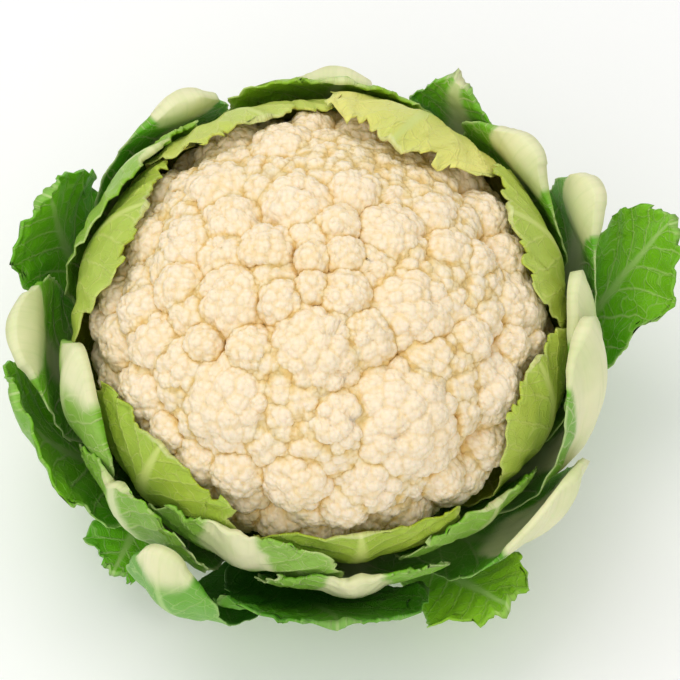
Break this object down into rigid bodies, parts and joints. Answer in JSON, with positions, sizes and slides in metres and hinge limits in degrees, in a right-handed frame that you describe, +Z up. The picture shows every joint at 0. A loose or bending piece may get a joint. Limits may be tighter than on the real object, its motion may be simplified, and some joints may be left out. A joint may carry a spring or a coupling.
{
  "type": "cauliflower",
  "caption": "Whole cauliflower with a domed head of cream florets, cupped by trimmed green wrapper leaves, standing on its cut stalk.",
  "frame": {"origin": "centre of the stalk's flat cut end, on the surface the cauliflower stands on", "axes": "+Z up through the head; -Y towards the front, the side nearest the camera in the picture; +X towards the wide flared leaf at the picture's right"},
  "size_m": [0.2323, 0.2084, 0.1393],
  "materials": {
    "curd": "matte, fine grained",
    "stalk": "moist cut flesh",
    "inner_leaf": "satin, thin",
    "middle_leaf": "satin",
    "outer_leaf": "satin, thick pale rib",
    "flared_leaf": "satin, veined"
  },
  "bodies": {
    "root": {"curd": "curd", "stalk": "stalk", "inner_leaf_front": "inner_leaf", "inner_leaf_front_left": "inner_leaf", "inner_leaf_left": "inner_leaf", "inner_leaf_back_left": "inner_leaf", "inner_leaf_back_right": "inner_leaf", "inner_leaf_right": "inner_leaf", "inner_leaf_front_right": "inner_leaf", "middle_leaf_front": "middle_leaf", "middle_leaf_left": "middle_leaf", "middle_leaf_back_left": "middle_leaf", "middle_leaf_back": "middle_leaf", "middle_leaf_back_right": "middle_leaf", "middle_leaf_right": "middle_leaf", "middle_leaf_front_right": "middle_leaf", "outer_leaf_front": "outer_leaf", "outer_leaf_front_left": "outer_leaf", "outer_leaf_left": "outer_leaf", "outer_leaf_back_left": "outer_leaf", "outer_leaf_back": "outer_leaf", "outer_leaf_back_right": "outer_leaf", "outer_leaf_right_back": "outer_leaf", "outer_leaf_right": "outer_leaf", "flared_leaf_right": "flared_leaf", "flared_leaf_front_right": "flared_leaf", "flared_leaf_front": "flared_leaf", "flared_leaf_left": "flared_leaf", "flared_leaf_back_left": "flared_leaf", "curled_leaf_front_left": "flared_leaf", "ragged_leaf_front_right": "flared_leaf", "hanging_leaf": "flared_leaf"}
  },
  "joints": []
}
